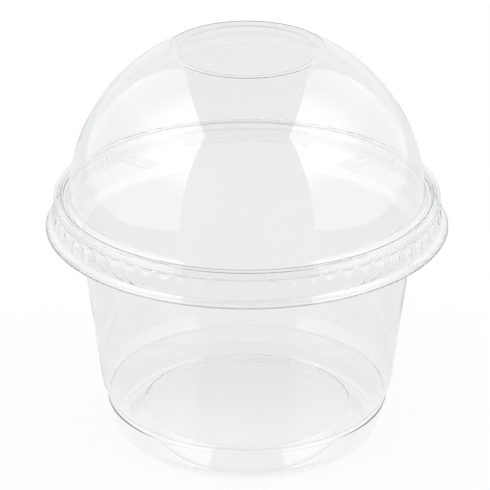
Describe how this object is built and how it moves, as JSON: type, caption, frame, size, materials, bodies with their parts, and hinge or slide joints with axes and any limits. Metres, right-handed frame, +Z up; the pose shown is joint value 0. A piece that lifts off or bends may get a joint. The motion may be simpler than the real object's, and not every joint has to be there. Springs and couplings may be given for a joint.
{
  "type": "dessert cup with dome lid",
  "caption": "Clear tapered dessert cup with a rolled rim and a raised floor, under a push-on dome lid with a round hole and a fluted skirt.",
  "frame": {"origin": "middle of the flat ring that the cup stands on", "axes": "+Z up along the common axis of cup and lid; +X and +Y are free, as both pieces are turned shapes"},
  "size_m": [0.098, 0.098, 0.0987],
  "materials": {
    "cup_plastic": "clear glossy sheet",
    "lid_plastic": "clear glossy sheet"
  },
  "bodies": {
    "cup": {"cup": "cup_plastic"},
    "lid": {"dome_lid": "lid_plastic"}
  },
  "joints": [
    {"name": "lid_lift", "type": "slide", "parent": "cup", "child": "lid", "axis": [0, 0, 1], "range_m": [0, 0.06]}
  ]
}
